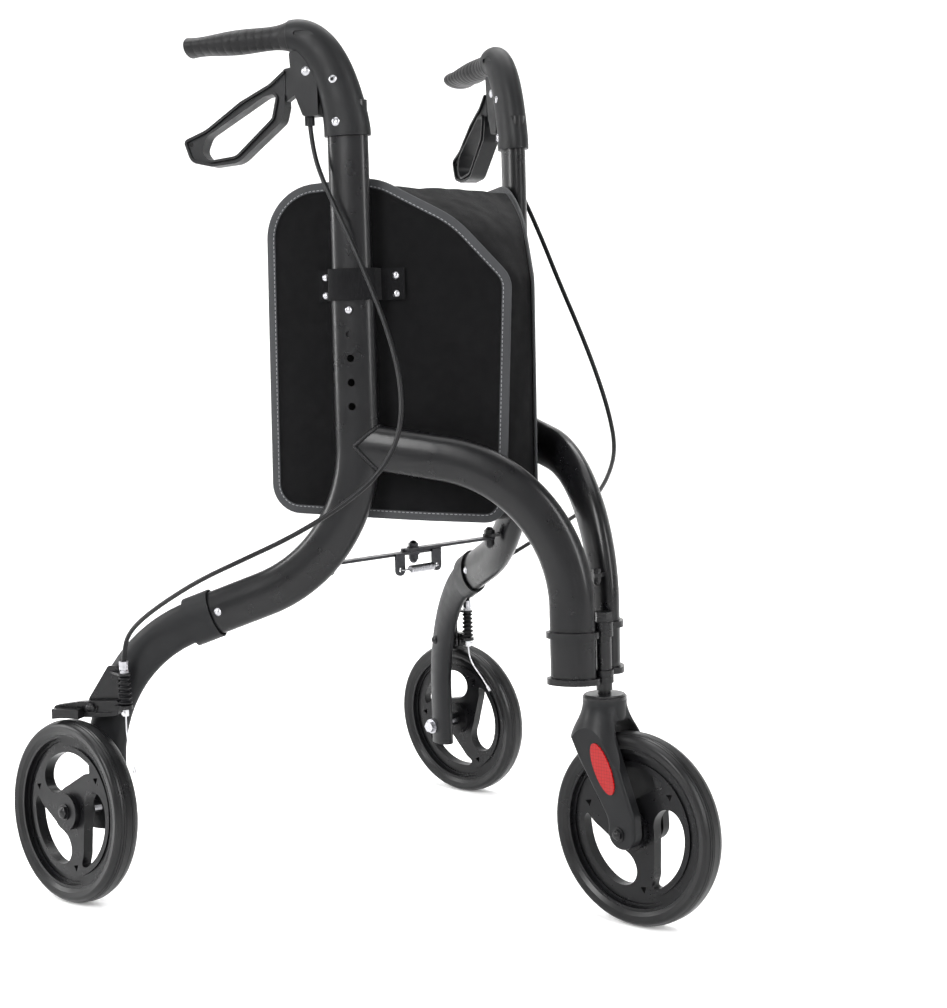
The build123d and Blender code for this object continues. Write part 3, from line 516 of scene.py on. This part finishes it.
def bag_side(side):
    """Stiffened panel: bound edge, and a fabric face that ripples a little between the bindings."""
    outline = rounded_path(PANEL, PANEL_RADII, 5.0)
    count = len(outline)
    rows = [(0.0, 0.0), (0.5, 0.9), (1.8, 1.45), (8.6, 1.5), (9.6, 1.35), (10.0, 0.85)]
    inner = inset(outline, 10.0)
    centre = sum(inner, Vector((0, 0))) / count
    verts, faces, slots = [], [], []
    for face in (1, -1):
        base = len(verts)
        for depth, rise in rows:
            for p in inset(outline, depth):
                verts.append(place(p.x, panel_out(p.x) + face * rise, p.y, side))
        shares = [0.97, 0.9, 0.8, 0.68, 0.55, 0.42, 0.3, 0.18, 0.07]
        for share in shares:
            for p in inner:
                q = centre + (p - centre) * share
                free = min(1.0, (1 - share) * 6)
                rise = 0.8 + free * (0.7 * ripple(q.x, q.y, 70, 3 + face) + 0.35 * ripple(q.x, q.y, 24, 9))
                verts.append(place(q.x, panel_out(q.x) + face * rise, q.y, side))
        total = len(rows) + len(shares)
        for number, quad in enumerate(grid_faces(total, count, close=True)):
            faces.append(tuple(base + k for k in quad))
            slots.append(1 if number // count < 4 else 0)
        faces.append(tuple(base + (total - 1) * count + k for k in range(count)))
        slots.append(0)
    obj = mesh_object(f"{side}_bag_side", verts, faces)
    dress(obj, f"panel_{side}", f"binding_{side}")
    obj.data.polygons.foreach_set("material_index", slots)
    tidy_normals(obj)
    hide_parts(f"{side}_bag_panel")
    follow_fold(obj)
    return outline


def tidy_normals(obj):
    work = bmesh.new()
    work.from_mesh(obj.data)
    bmesh.ops.remove_doubles(work, verts=work.verts, dist=1e-6)
    bmesh.ops.recalc_face_normals(work, faces=work.faces)
    work.to_mesh(obj.data)
    work.free()


def stitches(name, line, width, side, rise, slot, pitch=4.6, length=3.2):
    """Row of short thread loops along a line given in the side frame's x and z."""
    verts, faces = [], []
    travelled = 0.0
    for a, b in zip(line, line[1:]):
        span = (b - a).length
        while travelled < span:
            middle = a + (b - a) * (travelled / span)
            ahead = (b - a).normalized() * length / 2
            ends = [place(p.x, panel_out(p.x) + rise, p.y, side) for p in (middle - ahead, middle + ahead)]
            add_bead(verts, faces, ends, width)
            travelled += pitch
        travelled -= span
    obj = mesh_object(name, verts, faces)
    dress(obj, slot)
    follow_fold(obj)


def add_bead(verts, faces, ends, width):
    """One stitch: a short bar that tapers at both ends."""
    start, end = ends
    ahead = (end - start).normalized()
    normal = ahead.orthogonal().normalized()
    side = ahead.cross(normal)
    base = len(verts)
    for share, r in ((0.0, 0.25), (0.18, 0.85), (0.5, 1.0), (0.82, 0.85), (1.0, 0.25)):
        centre = start + (end - start) * share
        for k in range(6):
            a = pi * k / 3
            verts.append(centre + r * width * (cos(a) * normal + sin(a) * side))
    faces.extend(tuple(base + k for k in quad) for quad in grid_faces(5, 6, close=True))


GUSSET = [(226, 765), (147, 722), (102, 662), (113, 416), (351, 431), (348, 722)]
GUSSET_RADII = [0, 100, 22, 14, 26, 0]
GUSSET_IN = 1.9            # from a panel's middle to the cloth's edge
BAG_MIDDLE = Vector((225, 590))


def bag_gusset():
    """Soft front, floor and back of the bag: bellied and creased between its two side panels."""
    profile = rounded_path(GUSSET, GUSSET_RADII, 7.0, closed=False)
    across = 33
    count = len(profile)
    shell = []
    run = [0.0]
    for a, b in zip(profile, profile[1:]):
        run.append(run[-1] + (b - a).length)
    for i, p in enumerate(profile):
        along = (profile[min(i + 1, count - 1)] - profile[max(i - 1, 0)]).normalized()
        outward = Vector((along.y, -along.x)) * -1
        if outward.dot(p - BAG_MIDDLE) < 0:
            outward = -outward
        edge = panel_out(p.x) - GUSSET_IN
        half = p.x * sin(HALF) + edge * cos(HALF)
        for k in range(across):
            u = 2 * k / (across - 1) - 1
            free = (1 - u * u)
            open_end = min(1.0, min(run[i], run[-1] - run[i]) / 60 + 0.25)
            belly = (5.0 - 9.0 * max(0.0, -outward.x) * 0.2) * free
            crease = 3.2 * ripple(u * half * 1.1 + 0.25 * run[i], run[i] * 0.35, 34, 5)
            fine = 1.1 * ripple(u * half, run[i], 15, 21)
            push = belly * open_end + (crease + fine) * free ** 0.5 * 0.9
            q = p + outward * push
            y = PIVOT_Y + q.x * cos(HALF) - edge * sin(HALF)
            shell.append(Vector((u * half, y, q.y)) / 1000)
    obj = mesh_object("bag_cloth", shell, grid_faces(count, across))
    solid = obj.modifiers.new("cloth_thickness", "SOLIDIFY")
    solid.thickness = 0.0011
    solid.offset = 0.0
    fine = obj.modifiers.new("cloth_smooth", "SUBSURF")
    fine.levels = fine.render_levels = 1
    apply_modifiers(obj)
    dress(obj, "bag_fabric")
    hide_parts("bag_gusset")
    follow_fold(obj)


def apply_modifiers(obj):
    bpy.context.view_layer.update()
    shaped = obj.evaluated_get(bpy.context.evaluated_depsgraph_get())
    data = bpy.data.meshes.new_from_object(shaped)
    obj.modifiers.clear()
    obj.data = data
    data.polygons.foreach_set("use_smooth", [True] * len(data.polygons))


for side in SIDES:
    outline = bag_side(side)
    for face in (1, -1):
        line = inset(outline, 8.0)
        stitches(f"{side}_bag_stitch_{'outer' if face > 0 else 'inner'}", line + line[:1], 0.00042, side,
                 face * 1.6, f"thread_{side}")
bag_gusset()

# ---- stay spring: a real helix in place of the plain solid ----
TURNS = 15
STEPS = 24                 # points in each turn
COIL_HALF = 0.018
COIL_RADIUS = 0.0036
SPRING_WIRE = 0.0009
low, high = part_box("stay_spring")
spring_y, spring_z = low[1] + 0.0042, (low[2] + high[2]) / 2
coil = []
for i in range(TURNS * STEPS + 1):
    a = 2 * pi * i / STEPS
    x = -COIL_HALF + 2 * COIL_HALF * i / (TURNS * STEPS)
    coil.append(Vector((x, spring_y + COIL_RADIUS * cos(a), spring_z + COIL_RADIUS * sin(a))))
lead_in = [Vector((-0.029, spring_y + 0.008, spring_z)), Vector((-0.0288, spring_y + 0.002, spring_z)),
           Vector((-0.0265, spring_y, spring_z)), Vector((-0.0205, spring_y + 0.0005, spring_z)),
           Vector((-0.0185, spring_y + 0.0025, spring_z))]
lead_out = [Vector((-p.x, p.y, p.z)) for p in reversed(lead_in)]
spring = tube_mesh("stay_spring_coil", lead_in + coil + lead_out, SPRING_WIRE, around=8)
dress(spring, "zinc")
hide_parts("stay_spring")
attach(spring, "right_stay")

# ---- floor, backdrop and light ----
def stage_bowl():
    """Pale floor that rises in one smooth sweep into a wall all round."""
    around, flat, sweep, top = 72, 4.6, 1.6, 6.0
    profile = [(0.001, 0.0), (1.5, 0.0), (flat, 0.0)]
    profile += [(flat + sweep * sin(radians(a)), sweep - sweep * cos(radians(a))) for a in range(6, 91, 6)]
    profile.append((flat + sweep, top))
    verts = []
    for radius, height in profile:
        for k in range(around):
            a = 2 * pi * k / around
            verts.append((radius * cos(a), radius * sin(a), height))
    return mesh_object("stage", verts, grid_faces(len(profile), around, close=True))


floor = stage_bowl()
floor_mat = Shader("stage_paper", (0.9, 0.9, 0.9), 0.6, Emission_Strength=0.16)
floor_mat.set("Emission Color", (1, 1, 1, 1))
floor_mat.roughen(floor_mat.ramp(floor_mat.noise(3.0), 0.3, 0.7, 0.55, 0.65))
floor.data.materials.append(floor_mat.mat)


def area_light(name, place_at, aim, size, power):
    data = bpy.data.lights.new(name, "AREA")
    data.shape = "RECTANGLE"
    data.size, data.size_y = size
    data.energy = power
    lamp = new_object(name, data)
    lamp.location = place_at
    lamp.rotation_euler = (Vector(aim) - Vector(place_at)).to_track_quat("-Z", "Y").to_euler()
    return lamp


area_light("key", (-2.4, -0.2, 1.9), (0, 0, 0.5), (0.8, 1.5), 66)
area_light("front_strip", (-0.2, -2.8, 1.5), (0, 0, 0.45), (0.45, 2.2), 48)
area_light("edge_left", (-1.6, 2.2, 1.3), (0, 0, 0.5), (0.4, 1.8), 36)
area_light("top", (0.3, 0.4, 3.4), (0, 0, 0), (3.4, 3.4), 115)
area_light("backdrop", (0.9, 0.9, 3.0), (2.6, 2.4, 0.8), (3.0, 1.5), 130)
world = bpy.data.worlds.new("studio")
world.use_nodes = True
world.node_tree.nodes["Background"].inputs["Color"].default_value = (1.0, 1.0, 1.0, 1)
world.node_tree.nodes["Background"].inputs["Strength"].default_value = 0.16
bpy.context.scene.world = world
bpy.context.scene.view_settings.view_transform = "Standard"
